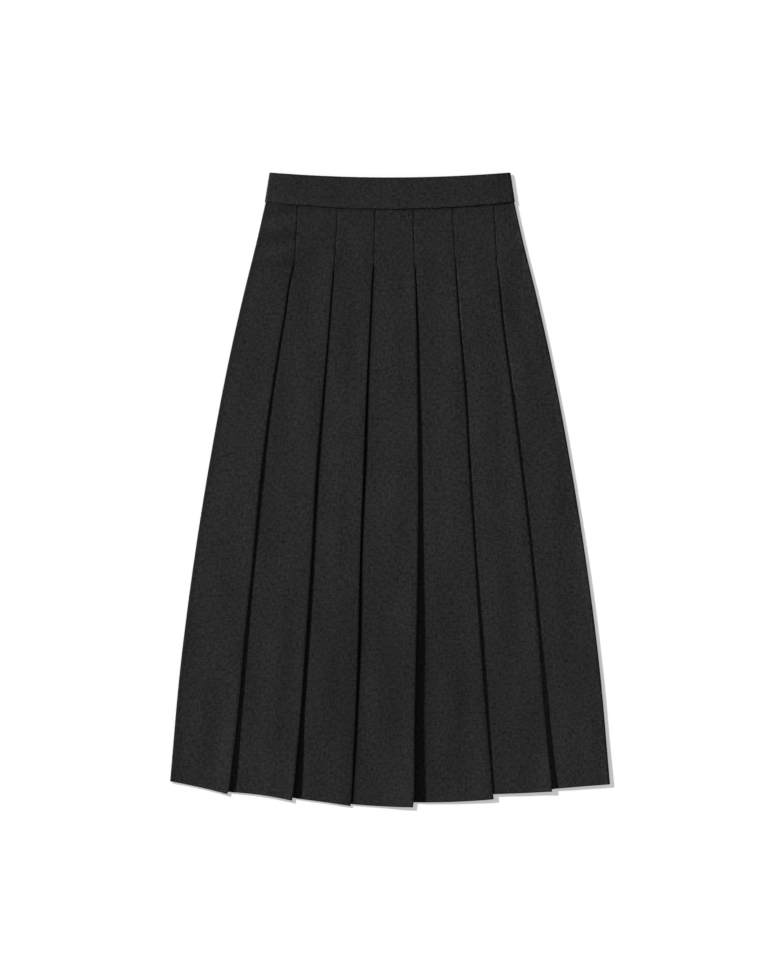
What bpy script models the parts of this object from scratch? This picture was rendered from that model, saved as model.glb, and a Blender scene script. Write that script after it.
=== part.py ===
"""Pleated midi skirt, laid flat on its back with the front uppermost.

+X runs to the viewer's right (the wearer's left), +Y from hem to waist, +Z up.
The origin is the middle of the skirt's outline, on the surface that it lies on.
All sizes are in millimetres, and MM turns them into Blender's metres. "Down" is
the distance from the line through the waistband's top corners towards the hem.
"""

from collections import namedtuple
from math import cos, pi, sin, sqrt

import bmesh
import bpy
import numpy as np

MM = 0.001

# Whole skirt
LENGTH = 824.6  # waistband's top corners to the lowest point of the hem
HALF_HEM = 285.8
SEAM_GAP = 0.3

# Cloth
CLOTH = 1.0  # wall of one layer
LAYER = 1.35  # middle of one folded layer to the middle of the next
BACK_LEVEL = CLOTH / 2  # middle of the back's outermost layer, above the table
FRONT_LEVEL = 7.25  # middle of the front's outermost layer
SIDE_LEVEL = 3.2  # middle of the front where it turns over at the side
SIDE_TURN = 2.3  # how far in from the side the turn is over

# Pleats
DEPTH_WAIST = 24.0  # fold edge to inner fold
DEPTH_HEM = 28.0
BACK_SHIFT = 6.5  # puts the centre back seam midway between two pleats
BESIDE = 0.85  # clearance from a fold edge to the cloth that comes out beside it
CLOSED_RISE = 0.1  # how far past that the cloth has climbed, where the pleat is sewn shut
OPEN_RISE = 3.0  # and where it hangs open
BACK_RAMP = 4.0  # the back's cloth climbs over this width, then lies flat
LIFT_WIDTH = 10.0  # over this width beside its fold edge a lifted panel rises most
LIFT_SHARE = 0.4  # what it has risen by there

# Waistband
BAND = 1.8  # wall: cloth folded double
BAND_HALF_TOP = 157.0
BAND_HALF_BOTTOM = 163.0
BAND_TOP_DIP = 6.5  # how far the top edge dips at the centre
BACK_TOP_DROP = 1.5  # the back's top edge lies this far below the front's
SEAM_SIDE = 38.4  # waist seam, down from the top corners
SEAM_CENTRE = 47.8
BAND_LEVEL = 7.15  # middle of the front waistband
BAND_SIDE_LEVEL = 4.2
BAND_TURN = 2.8  # how far in from the side the front waistband's turn is over
BAND_SIDE_RUN = 34.0  # the front waistband is level this far in from its side
BAND_LIFT = 2.0  # the back waistband's ends rise over the pull tab
BAND_LIFT_FLAT = 9.0
BAND_LIFT_END = 30.0
BAND_LIFT_RUN = 14.0  # the rise dies away over this height, just above the seam
BAND_LIFT_CLEAR = 2.0
BAND_SIDE_INSET = 0.4  # the back waistband ends this far inside the front one

# Zip, at the centre of the back
ZIP_END = 206.0
ZIP_GAP = 1.2  # between the two cloth edges beside the zip
TAPE_WIDTH = 16.0
TAPE = 0.6
COIL_WIDTH = 3.0
COIL = 1.0
TAPE_TOP = 19.6
TAPE_BEND = 33.0  # the tape comes down from the lifted waistband from here
TAPE_LOW = 52.0  # to here, just below the waist seam
TAPE_SEAM = 47.0
TAPE_SEAM_CLEAR = 0.1
SLIDER_DOWN = 14.5  # hinge of the pull tab
SLIDER_WIDTH = 5.6
SLIDER_LENGTH = 8.5
SLIDER = 1.3
SLIDER_CORNER = 1.0
SLIDER_TAPER = 1.2
NECK = 0.6
NECK_SUNK = 0.4  # how far the neck runs up into the slider
NECK_RADIUS = 1.0
EYE_RADIUS = 0.6
PULL_DROP = 0.85  # hinge below the waistband's outer face
PULL_LENGTH = 15.0
PULL_WIDTH = 4.4
PULL = 0.7
PULL_CORNER = 0.5
PULL_WAIST = 0.4  # how much narrower each side is above the round end
PULL_WINDOW = 1.35
PULL_WINDOW_WIDTH = 2.0

SideLine = namedtuple("SideLine", "down half_width")
SIDE = (
    SideLine(38.0, 161.7),
    SideLine(88.0, 173.0),
    SideLine(153.0, 189.1),
    SideLine(250.0, 210.9),
    SideLine(380.0, 235.2),
    SideLine(510.0, 255.8),
    SideLine(640.0, 272.2),
    SideLine(794.0, HALF_HEM),
)

# Where each pleat's fold edge lies across the front, at these distances down.
Edge = namedtuple("Edge", "waist release high hip seat thigh knee calf hem")
EDGE_DOWN = Edge(42, 117, 186, 290, 394, 498, 602, 706, 806)
EDGES = (
    Edge(-120.1, -124.4, -137.4, -154.4, -167.7, -177.5, -188.4, -197.7, -209.2),
    Edge(-67.7, -72.1, -78.1, -87.1, -96.0, -101.7, -108.8, -116.1, -125.3),
    Edge(-19.2, -21.3, -25.3, -30.4, -34.4, -38.4, -40.7, -44.4, -49.2),
    Edge(30.0, 31.7, 34.5, 36.2, 37.2, 36.5, 34.8, 32.7, 31.9),
    Edge(80.7, 85.0, 89.5, 98.0, 103.7, 110.7, 117.5, 125.6, 134.3),
    Edge(135.2, 138.8, 145.4, 158.8, 172.0, 184.1, 193.4, 201.8, 211.2),
)

# How far each fold edge of the front stands above the panel beside it.
STEPS = (
    Edge(0.0, 0.1, 1.0, 1.2, 1.6, 1.5, 1.8, 2.1, 3.7),
    Edge(0.0, 0.1, 0.8, 1.2, 1.6, 1.6, 2.2, 2.3, 4.5),
    Edge(0.0, 0.1, 0.8, 1.2, 1.5, 1.3, 1.8, 1.3, 0.8),
    Edge(0.0, 0.1, 1.2, 1.8, 2.2, 3.3, 4.1, 4.3, 5.6),
    Edge(0.0, 0.1, 0.9, 1.2, 1.2, 1.2, 2.1, 1.4, 1.0),
    Edge(0.0, 0.1, 1.0, 1.6, 1.3, 1.3, 1.8, 2.4, 4.0),
)
BACK_STEP = 2 * LAYER
BACK_OPENING = 40.0  # the back's pleats open fully over this length

# How far down each panel's hem is at its left, in its middle and at its right
Hem = namedtuple("Hem", "left middle right")
HEMS = (
    Hem(791.2, 798.6, 808.0),
    Hem(805.3, 808.9, 816.2),
    Hem(813.0, 817.7, 823.2),
    Hem(820.8, 823.6, LENGTH),
    Hem(818.6, 817.9, 814.3),
    Hem(807.8, 806.4, 804.2),
    Hem(801.2, 798.0, 795.0),
)
HIDDEN_RISE = 2.5  # how much higher the hem hangs inside a pleat
BACK_HEM_CENTRE = 813.0
BACK_HEM_RISE = 27.0

# Rows of points down a panel, as shares of its length.
ROWS = np.array([0, 0.05, 0.1, 0.16, 0.24, 0.34, 0.46, 0.59, 0.72, 0.86, 0.94, 1])

Finish = namedtuple("Finish", "colour roughness metallic")
CLOTH_FINISH = Finish((0.0215, 0.0212, 0.0222), 0.95, 0.0)
BAND_FINISH = Finish((0.0205, 0.0202, 0.0212), 0.95, 0.0)
TAPE_FINISH = Finish((0.012, 0.012, 0.013), 0.8, 0.0)
METAL_FINISH = Finish((0.05, 0.05, 0.055), 0.4, 1.0)

Wall = namedtuple("Wall", "level shift steps ramp hems")
Column = namedtuple("Column", "across height hem")


def smooth(t):
    t = np.clip(t, 0, 1)
    return t * t * (3 - 2 * t)


def mix(a, b, t):
    return a + (b - a) * t


def through(places, values, at):
    """A smooth curve through the given values, straight beyond its ends."""
    places, values = np.array(places, float), np.array(values, float)
    slopes = np.gradient(values, places)
    i = np.clip(np.searchsorted(places, at) - 1, 0, len(places) - 2)
    span = places[i + 1] - places[i]
    t = (at - places[i]) / span
    inner = np.clip(t, 0, 1)
    square, cube = inner**2, inner**3
    curve = (
        (2 * cube - 3 * square + 1) * values[i]
        + (cube - 2 * square + inner) * span * slopes[i]
        + (3 * square - 2 * cube) * values[i + 1]
        + (cube - square) * span * slopes[i + 1]
    )
    return curve + (t - inner) * span * np.where(t < 0, slopes[i], slopes[i + 1])


def half_width(down):
    return through([s.down for s in SIDE], [s.half_width for s in SIDE], down)


def along(row, down):
    """A value given at the stations of EDGE_DOWN, at any distance down."""
    return through(EDGE_DOWN, row, down)


def depth(down):
    run = EDGE_DOWN.hem - EDGE_DOWN.waist
    return mix(DEPTH_WAIST, DEPTH_HEM, (down - EDGE_DOWN.waist) / run)


def waist_seam(across):
    return mix(SEAM_CENTRE, SEAM_SIDE, (across / BAND_HALF_BOTTOM) ** 2)


def hem_of_panel(wall, number, across):
    """How far down the hem of one panel reaches, also where a pleat hides it."""
    if wall.hems is None:
        return BACK_HEM_CENTRE - BACK_HEM_RISE * (across / HALF_HEM) ** 2
    hem_row = [-HALF_HEM] + [e.hem for e in EDGES] + [HALF_HEM]
    left, right = hem_row[number], hem_row[number + 1]
    hem = wall.hems[number]
    share = (across - left) / (right - left)
    inside = np.clip(share, 0, 1)
    belly = 4 * inside * (1 - inside) * (hem.middle - (hem.left + hem.right) / 2)
    return mix(hem.left, hem.right, share) + belly


def pleat_columns(wall, number):
    """One pleat and the panel that comes out from under it.

    The cloth runs over the inner fold to the fold edge, turns back under itself to
    the inner fold, turns again, and comes out beside the fold edge as the next panel.
    """
    last = number == len(EDGES) - 1
    top, middle, low = (wall.level - LAYER * n for n in range(3))
    nose = CLOTH / 2 * sqrt(2)
    bend = LAYER / 2

    def edge(down):
        return along(EDGES[number], down) + wall.shift

    def inner(down):
        return edge(down) - depth(down)

    def step(down):
        if wall.steps is None:
            return BACK_STEP * smooth((down - EDGE_DOWN.release) / BACK_OPENING)
        return np.interp(down, EDGE_DOWN, wall.steps[number])

    def lift(down):
        return np.maximum(step(down) - BACK_STEP, 0)

    def opened(down):
        return np.minimum(step(down) / BACK_STEP, 1)

    def beside(down):
        """The next panel's level where it comes out beside the fold edge."""
        return mix(top, low, opened(down))

    def start(down):
        return edge(down) + BESIDE + mix(CLOSED_RISE, OPEN_RISE, opened(down))

    def end(down):
        if last:
            return half_width(down) - SIDE_TURN
        following = along(EDGES[number + 1], down) + wall.shift
        return following - depth(down) - CLOTH

    def ramp_end(down):
        if wall.ramp is None:
            return end(down)
        return start(down) + wall.ramp

    side_level = wall.level if wall.hems is None else SIDE_LEVEL
    target = side_level if last else top

    def ramp(share):
        def across(down):
            return mix(start(down), ramp_end(down), share)

        def height(down):
            return mix(beside(down), target, smooth(share))

        return across, height

    at_hem = EDGE_DOWN.hem
    edge_hem = hem_of_panel(wall, number, edge(at_hem))
    inner_hem = hem_of_panel(wall, number, inner(at_hem)) - HIDDEN_RISE
    half_hem = mix(edge_hem, inner_hem, LIFT_WIDTH / DEPTH_HEM)
    found = [
        Column(inner, lambda d: top + 0 * d, hem_of_panel(wall, number, inner(at_hem))),
        Column(lambda d: edge(d) - LIFT_WIDTH, lambda d: top + LIFT_SHARE * lift(d), half_hem),
        Column(lambda d: edge(d) - nose - bend, lambda d: top + lift(d), edge_hem),
        Column(lambda d: edge(d) - nose, lambda d: (top + middle) / 2 + lift(d), edge_hem),
        Column(lambda d: edge(d) - nose - bend, lambda d: middle + lift(d), edge_hem),
        Column(lambda d: edge(d) - LIFT_WIDTH, lambda d: middle + LIFT_SHARE * lift(d), half_hem),
        Column(lambda d: inner(d) + bend, lambda d: middle + 0 * d, inner_hem),
        Column(inner, lambda d: (middle + low) / 2 + 0 * d, inner_hem),
        Column(lambda d: inner(d) + bend, lambda d: low + 0 * d, inner_hem),
        Column(
            lambda d: edge(d) + BESIDE,
            lambda d: low + 0 * d,
            hem_of_panel(wall, number + 1, edge(at_hem)),
        ),
    ]
    for share in (0.0, 0.45, 0.8) if wall.ramp is None else (0.0, 1.0):
        across, height = ramp(share)
        found.append(Column(across, height, hem_of_panel(wall, number + 1, across(at_hem))))
    return found


def side_columns(wall, sign):
    """The end of a sheet at one side, from its edge inwards."""
    if wall.hems is None:
        places = ((CLOTH / 2, wall.level), (5.0, wall.level))
    else:
        seam_level = CLOTH + SEAM_GAP
        places = (
            (CLOTH / 2, seam_level),
            (CLOTH, mix(seam_level, SIDE_LEVEL, 0.7)),
            (SIDE_TURN, SIDE_LEVEL),
        )
    number = 0 if sign < 0 else len(EDGES)
    found = []
    for inset, height in places:
        found.append(
            Column(
                lambda d, inset=inset: sign * (half_width(d) - inset),
                lambda d, height=height: height + 0 * d,
                hem_of_panel(wall, number, sign * HALF_HEM),
            )
        )
    return found


def sheet_columns(wall):
    """The middle of one pleated sheet from its left side to its right one."""
    found = side_columns(wall, -1)
    if wall.hems is not None:
        found.append(
            Column(
                lambda d: mix(SIDE_TURN - half_width(d), along(EDGES[0], d) - depth(d), 0.5),
                lambda d: mix(SIDE_LEVEL, wall.level, 0.5) + 0 * d,
                hem_of_panel(wall, 0, mix(-HALF_HEM, EDGES[0].hem, 0.3)),
            )
        )
    for number in range(len(EDGES)):
        found += pleat_columns(wall, number)
    return found + side_columns(wall, 1)[::-1]


def sheet_grid(columns, rows):
    """Arrays of across, down and height, a row of points for each share of the length."""
    grid = []
    for column in columns:
        top = waist_seam(column.across(np.array(EDGE_DOWN.waist))) + SEAM_GAP
        down = mix(top, column.hem, rows)
        grid.append((column.across(down), down, column.height(down)))
    return np.array(grid).transpose(1, 2, 0)


def walls(across, height, thickness):
    """Both faces of a sheet, from its middle: the points moved half its thickness."""
    step_x, step_z = np.diff(across, axis=1), np.diff(height, axis=1)
    length = np.hypot(step_x, step_z)
    normal = np.stack([-step_z / length, step_x / length])
    before = np.concatenate([normal[:, :, :1], normal], axis=2)
    after = np.concatenate([normal, normal[:, :, -1:]], axis=2)
    mitre = before + after
    mitre = mitre * thickness / 2 / (mitre * before).sum(axis=0)
    return (
        (across + mitre[0], height + mitre[1]),
        (across - mitre[0], height - mitre[1]),
    )


def slab(name, outer, inner, finish):
    """A closed wall between two grids of points, outer first."""
    bm = bmesh.new()
    rows, columns = outer[0].shape
    faces = []
    for across, down, height in (outer, inner):
        faces.append(
            [
                [
                    bm.verts.new(
                        (across[r, c] * MM, (LENGTH / 2 - down[r, c]) * MM, height[r, c] * MM)
                    )
                    for c in range(columns)
                ]
                for r in range(rows)
            ]
        )
    front, back = faces
    for r in range(rows - 1):
        for c in range(columns - 1):
            bm.faces.new((front[r][c], front[r + 1][c], front[r + 1][c + 1], front[r][c + 1]))
            bm.faces.new((back[r][c], back[r][c + 1], back[r + 1][c + 1], back[r + 1][c]))
    for r in range(rows - 1):
        for c in (0, columns - 1):
            bm.faces.new((front[r][c], back[r][c], back[r + 1][c], front[r + 1][c]))
    for c in range(columns - 1):
        for r in (0, rows - 1):
            bm.faces.new((front[r][c], back[r][c], back[r][c + 1], front[r][c + 1]))
    bmesh.ops.recalc_face_normals(bm, faces=bm.faces)
    return finished(name, bm, finish)


def finished(name, bm, finish):
    """An object of its own from a mesh, with its own material."""
    mesh = bpy.data.meshes.new(name)
    bm.to_mesh(mesh)
    bm.free()
    material = bpy.data.materials.new(name)
    material.use_nodes = True
    surface = material.node_tree.nodes["Principled BSDF"]
    surface.inputs["Base Color"].default_value = (*finish.colour, 1)
    surface.inputs["Roughness"].default_value = finish.roughness
    surface.inputs["Metallic"].default_value = finish.metallic
    mesh.materials.append(material)
    made = bpy.data.objects.new(name, mesh)
    bpy.context.scene.collection.objects.link(made)
    return made


def smooth_shaded(made, degrees=40):
    made.data.shade_smooth()
    made.data.set_sharp_from_angle(angle=degrees * pi / 180)
    return made


def front_panel():
    wall = Wall(FRONT_LEVEL, 0.0, STEPS, None, HEMS)
    across, down, height = sheet_grid(sheet_columns(wall), ROWS)
    outer, inner = walls(across, height, CLOTH)
    made = slab(
        "front_panel",
        (outer[0], down, outer[1]),
        (inner[0], down, inner[1]),
        CLOTH_FINISH,
    )
    return smooth_shaded(made)


def centre_line(side):
    """Where a back piece ends at the centre, beside the zip and below it."""

    def across(down):
        wide = smooth((ZIP_END + 6 - down) / 6)
        return side * mix(SEAM_GAP, ZIP_GAP, wide) / 2

    return across


def back_panels():
    """The back is the front's pattern turned over, cut in two down its centre."""
    wall = Wall(-BACK_LEVEL, BACK_SHIFT, None, BACK_RAMP, None)
    columns = sheet_columns(wall)
    waist = np.array(EDGE_DOWN.waist)
    cut = [i for i, column in enumerate(columns) if column.across(waist) < 0][-1] + 1
    halves = {"back_panel_left": (columns[:cut], -1), "back_panel_right": (columns[cut:], 1)}
    for name, (half, side) in halves.items():
        edge = Column(centre_line(side), lambda d: wall.level + 0 * d, BACK_HEM_CENTRE)
        half = half + [edge] if side < 0 else [edge] + half
        across, down, height = sheet_grid(half, ROWS)
        outer, inner = walls(across, height, CLOTH)
        smooth_shaded(
            slab(
                name,
                (-outer[0], down, -outer[1]),
                (-inner[0], down, -inner[1]),
                CLOTH_FINISH,
            )
        )


def band_edges(share, lower, drop=0.0):
    """Across and down of a waistband's points: share runs from -1 to 1 across it."""
    top = BAND_TOP_DIP * (1 - share**2) + drop
    bottom = waist_seam(share * BAND_HALF_BOTTOM)
    half = mix(BAND_HALF_TOP, BAND_HALF_BOTTOM, lower)
    return half, mix(top, bottom, lower)


def front_waistband():
    seam_level = BAND + SEAM_GAP
    turn = (
        (BAND / 2, seam_level),
        (BAND * 2 / 3, mix(seam_level, BAND_SIDE_LEVEL, 0.5)),
        (BAND_TURN, BAND_SIDE_LEVEL),
    )
    lower = np.array([[0.0], [0.5], [1.0]])
    half = mix(BAND_HALF_TOP, BAND_HALF_BOTTOM, lower)
    columns = [(half - inset, 0 * half + height) for inset, height in turn]
    for share in (0.3, 0.65, 1.0):
        run = mix(BAND_TURN, BAND_SIDE_RUN, share)
        level = mix(BAND_SIDE_LEVEL, BAND_LEVEL, smooth(share))
        columns.append((half - run, 0 * half + level))
    for share in (0.6, 0.2):
        columns.append((share * (half - BAND_SIDE_RUN), 0 * half + BAND_LEVEL))
    both = [(-x, z) for x, z in columns] + columns[::-1]
    across = np.hstack([x for x, _ in both])
    height = np.hstack([z for _, z in both])
    _, down = band_edges(across / half, lower + 0 * across)
    outer, inner = walls(across, height, BAND)
    made = slab(
        "waistband_front",
        (outer[0], down, outer[1]),
        (inner[0], down, inner[1]),
        BAND_FINISH,
    )
    return smooth_shaded(made)


def band_lift(across, down):
    """How far the back waistband rises off the table to clear the pull tab."""
    sideways = smooth((BAND_LIFT_END - abs(across)) / (BAND_LIFT_END - BAND_LIFT_FLAT))
    downwards = smooth((SEAM_CENTRE - BAND_LIFT_CLEAR - down) / BAND_LIFT_RUN)
    return BAND_LIFT * sideways * downwards


def back_waistbands():
    lower = np.array([[0.0], [0.3], [0.6], [0.8], [1.0]])
    half = mix(BAND_HALF_TOP, BAND_HALF_BOTTOM, lower) - BAND_SIDE_INSET
    rise = np.linspace(BAND_LIFT_FLAT, BAND_LIFT_END, 5)
    places = np.concatenate([(ZIP_GAP / 2, BAND_LIFT_FLAT / 2), rise, (BAND_HALF_TOP / 2,)])
    for name, side in (("waistband_back_left", 1), ("waistband_back_right", -1)):
        across = np.hstack([places + 0 * half, half])
        _, down = band_edges(across / half, lower + 0 * across, BACK_TOP_DROP)
        low = band_lift(across, down)
        slab(
            name,
            (side * across, down, low + BAND),
            (side * across, down, low),
            BAND_FINISH,
        )


def zip_tape():
    """The closed zip: woven tape, with the coil standing along its middle."""
    lift = BAND_LIFT + BAND + SEAM_GAP
    low = CLOTH + SEAM_GAP
    run = (
        (TAPE_TOP, lift),
        (TAPE_BEND, lift),
        (TAPE_SEAM, BAND + SEAM_GAP + TAPE_SEAM_CLEAR),
        (TAPE_LOW, low),
        (ZIP_END, low),
    )
    half, coil = TAPE_WIDTH / 2, COIL_WIDTH / 2
    section = (
        (-half, 0),
        (-coil, 0),
        (coil, 0),
        (half, 0),
        (half, TAPE),
        (coil, TAPE),
        (coil, TAPE + COIL),
        (-coil, TAPE + COIL),
        (-coil, TAPE),
        (-half, TAPE),
    )
    ends = ((0, 1, 8, 9), (1, 2, 5, 8), (2, 3, 4, 5), (8, 5, 6, 7))
    bm = bmesh.new()
    rings = []
    for down, level in run:
        rings.append(
            [
                bm.verts.new((x * MM, (LENGTH / 2 - down) * MM, (level + z) * MM))
                for x, z in section
            ]
        )
    for above, below in zip(rings, rings[1:], strict=False):
        for i in range(len(section)):
            j = (i + 1) % len(section)
            bm.faces.new((above[i], above[j], below[j], below[i]))
    for ring in (rings[0], rings[-1]):
        for corners in ends:
            bm.faces.new([ring[i] for i in corners])
    bmesh.ops.recalc_face_normals(bm, faces=bm.faces)
    return finished("zip_tape", bm, TAPE_FINISH)


def prism(bm, outline, low, high, axis):
    """An outline raised from low to high along X or Z. Sizes in millimetres."""

    def point(a, b, c):
        return (c * MM, a * MM, b * MM) if axis == "X" else (a * MM, b * MM, c * MM)

    start = [bm.verts.new(point(a, b, low)) for a, b in outline]
    stop = [bm.verts.new(point(a, b, high)) for a, b in outline]
    bm.faces.new(start)
    bm.faces.new(stop[::-1])
    for i in range(len(outline)):
        j = (i + 1) % len(outline)
        bm.faces.new((start[i], start[j], stop[j], stop[i]))
    bmesh.ops.recalc_face_normals(bm, faces=bm.faces)


def arc(radius, start, stop, count, centre=(0.0, 0.0)):
    """Points along an arc, angles in degrees."""
    angles = np.linspace(start, stop, count) * pi / 180
    return [(centre[0] + radius * cos(t), centre[1] + radius * sin(t)) for t in angles]


def helper(name, bm):
    """A guide or cutter that is not a part of the skirt."""
    made = finished(name, bm, METAL_FINISH)
    made.hide_render = True
    made.display_type = "WIRE"
    return made


def combine(target, other, operation):
    step = target.modifiers.new(other.name, "BOOLEAN")
    step.object = other
    step.operation = operation
    other.location = target.location


def hinge_point():
    return (0.0, (LENGTH / 2 - SLIDER_DOWN) * MM, (BAND_LIFT - PULL_DROP) * MM)


def zip_slider():
    """The slider inside the waistband, with a neck that comes out between its ends."""
    body_low = PULL_DROP + BAND + SEAM_GAP
    body = bmesh.new()
    half, start = SLIDER_WIDTH / 2, SLIDER_LENGTH / 2
    outline = (
        (-half, -start + SLIDER_TAPER),
        (-half + SLIDER_CORNER, -start),
        (half - SLIDER_CORNER, -start),
        (half, -start + SLIDER_TAPER),
        (half, start),
        (-half, start),
    )
    prism(body, outline, body_low, body_low + SLIDER, "Z")
    made = finished("zip_slider", body, METAL_FINISH)
    made.location = hinge_point()

    neck = bmesh.new()
    outline = arc(NECK_RADIUS, 180, 360, 9)
    outline += [(NECK_RADIUS, body_low + NECK_SUNK), (-NECK_RADIUS, body_low + NECK_SUNK)]
    prism(neck, outline, -NECK / 2, NECK / 2, "X")
    combine(made, helper("slider_neck", neck), "UNION")

    eye = bmesh.new()
    prism(eye, arc(EYE_RADIUS, 0, 337.5, 16), -NECK, NECK, "X")
    combine(made, helper("slider_eye", eye), "DIFFERENCE")
    return made


def zip_pull():
    """The pull tab: a plate whose upper bar turns in the slider's eye."""
    half, bar = PULL_WIDTH / 2, PULL / 2
    plate = bmesh.new()
    shoulder = bar - PULL_CORNER
    waist = half - PULL_WAIST
    waist_down = -PULL_LENGTH * 0.6
    outline = [(-half + PULL_CORNER, bar), (-half, shoulder), (-waist, waist_down)]
    outline += arc(half, 200, 340, 9, (0.0, half - PULL_LENGTH))
    outline += [(waist, waist_down), (half, shoulder), (half - PULL_CORNER, bar)]
    prism(plate, outline, -PULL / 2, PULL / 2, "Z")
    made = finished("zip_pull", plate, METAL_FINISH)
    made.location = hinge_point()

    window = bmesh.new()
    side = PULL_WINDOW_WIDTH / 2
    outline = (
        (-side, -bar),
        (side, -bar),
        (side, -bar - PULL_WINDOW),
        (-side, -bar - PULL_WINDOW),
    )
    prism(window, outline, -PULL, PULL, "Z")
    combine(made, helper("pull_window", window), "DIFFERENCE")
    return made


def main():
    for old in list(bpy.data.objects):
        bpy.data.objects.remove(old, do_unlink=True)
    front_panel()
    back_panels()
    front_waistband()
    back_waistbands()
    zip_tape()
    zip_slider()
    zip_pull()
    whole = bpy.data.objects.new("skirt", None)
    bpy.context.scene.collection.objects.link(whole)
    for made in bpy.data.objects:
        if made is not whole:
            made.parent = whole


main()
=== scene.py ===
"""Looks of the pleated midi skirt, laid flat on its back with the front uppermost.

+X runs to the viewer's right (the wearer's left), +Y from hem to waist, +Z up.
The cloth's shapes are worked out in millimetres, and MM turns them into metres.
"Down" is the distance from the line through the waistband's top corners towards
the hem.
"""

from collections import namedtuple
from math import cos, pi, radians, sin, sqrt

import bpy
import numpy as np
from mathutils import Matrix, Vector


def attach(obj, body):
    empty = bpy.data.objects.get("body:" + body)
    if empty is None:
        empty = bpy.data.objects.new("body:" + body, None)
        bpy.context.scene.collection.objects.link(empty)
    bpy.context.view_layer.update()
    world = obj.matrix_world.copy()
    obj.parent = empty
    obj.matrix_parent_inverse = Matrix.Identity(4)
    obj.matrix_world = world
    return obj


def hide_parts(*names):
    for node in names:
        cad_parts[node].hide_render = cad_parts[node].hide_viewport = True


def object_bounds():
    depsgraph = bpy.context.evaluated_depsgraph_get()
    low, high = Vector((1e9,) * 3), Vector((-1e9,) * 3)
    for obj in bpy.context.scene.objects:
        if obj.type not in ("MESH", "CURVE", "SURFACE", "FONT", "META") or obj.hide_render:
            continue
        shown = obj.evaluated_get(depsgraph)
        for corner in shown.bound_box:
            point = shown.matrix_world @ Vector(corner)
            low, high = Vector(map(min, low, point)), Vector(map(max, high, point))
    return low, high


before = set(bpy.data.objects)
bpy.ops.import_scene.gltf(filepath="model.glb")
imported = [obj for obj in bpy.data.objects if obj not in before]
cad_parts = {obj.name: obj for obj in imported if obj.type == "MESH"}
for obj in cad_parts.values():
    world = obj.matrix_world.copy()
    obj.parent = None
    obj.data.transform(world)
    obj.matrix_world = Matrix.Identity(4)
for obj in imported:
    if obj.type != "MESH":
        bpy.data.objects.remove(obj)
cad_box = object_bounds()

MM = 0.001

# Whole skirt
ORIGIN_DOWN = round(-cad_box[0].y / MM, 1)  # the frame's origin lies half the length down
HALF_HEM = 285.5
TUCK = 3.0  # how far the panels reach up into the waistband
SEAM_RIDGE = 0.6  # what the seam allowances lift the cloth by below the band seam
SEAM_RIDGE_REACH = 4.5

# Cloth
CLOTH = 0.7  # thickness
LAYER = 1.1  # from one layer of a pleat to the next
FRONT_LEVEL = 6.8  # height of the front's uppermost layer, to the middle of its thickness
BACK_LEVEL = 0.4  # and of the back's lowest
SIDE_ROUND = 1.9
SIDE_SEAM = 2.35  # height of the side seams
SIDE_SEAM_GAP = 0.3  # between front and back there
EDGE_ROUND = 0.45  # rounding of the cut edges
ROWS_LENGTH = 770.0  # the sheets' length, for the rows of points near their ends
CLOSE_ROWS = (1.0, 2.0, TUCK, 3.6, 4.4, 5.5, 8.0)  # how far these lie from each end
FRONT_ROWS = 116
FRONT_COLUMNS = 26  # over each panel
BACK_ROWS = 60
BACK_COLUMNS = 12

# Pleats
DEPTH_WAIST = 24.0
DEPTH_HEM = 28.0
BACK_SHIFT = 6.5  # the back's folds lie this far across from where the front's would
BACK_RAMP = 9.0  # a back panel climbs over the fold beside it within this width
INNER_CLEAR = 1.0  # and a front panel until this close to its inner fold
HIDDEN_RISE = 2.5  # how much higher the hem hangs inside a pleat
NOSE = 0.7  # width of a pressed fold for its height
BESIDE_SHUT = 3.0  # where a panel's own columns begin beside a fold edge, sewn shut
BESIDE_OPEN = 4.0  # and open
INNER_DROP = 0.45  # how far a panel sinks over the inner fold of an open pleat
INNER_DROP_RUN = 60.0  # length over which that sets in
LIFT_REACH = 0.85  # share of a panel's width over which its fold edge lifts
LIFT_CURVE = 1.7
BACK_SEWN_STEP = 0.3
BACK_OPENING = 40.0  # length over which the back's pleats open fully

# Waistband
BAND = 1.7  # thickness
BAND_HEIGHT = 40.0
BAND_ROWS = 16
BAND_COLUMNS = 60  # over its level middle
BAND_CLOSE_ROWS = (1.2, 1.6, 2.2, 3.2)
BAND_HALF_TOP = 156.8
BAND_HALF_BOTTOM = 162.7
BAND_MIDDLE = 0.25  # the front waistband lies this far to the right
BAND_TOP_DIP = 6.5  # how much lower its top is in the middle than at its corners
BAND_ROUND = 2.0
BACK_TOP_DROP = 1.5  # how much lower the back band's top is than the front's
BACK_BAND_ROUND = 1.5
BACK_BAND_TURN = (72, 54, 36, 18, 0)  # degrees of the columns round its side
BACK_BAND_COLUMNS = 19  # between those and the ones beside the zip
BACK_BAND_CLOSE_ROWS = (1.5, 2.5)
SEAM_SIDE = 38.4  # how far down the band seam is at the sides
SEAM_CENTRE = 47.8  # and in the middle
BAND_LEVEL = 7.55
BAND_SIDE_LEVEL = 6.9
BAND_SIDE_RUN = 26.0
BAND_SEAM_LEVEL = 0.6  # above the side seams
BAND_RIDGE = 0.5  # what the seam allowances lift the band by above its seam
BAND_RIDGE_REACH = 6.0
BAND_FLAT_SIDE = 20.0  # the band's unevenness fades out over this much at its sides
SEAM_WOBBLE = 0.3  # how far the seam strays from a smooth line, in waves of two lengths
SEAM_WOBBLE_RUNS = (17.0, 5.1)
BAND_LIFT = 2.0  # how much the back band arches over the zip's slider
BAND_LIFT_FLAT = 9.0  # the arch is level so far from the zip
BAND_LIFT_END = 30.0
BAND_LIFT_DOWN = 14.0  # and comes down over this much
BAND_LIFT_CLEAR = 2.0  # until so far above the seam
ZIP_END = 206.0
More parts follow.
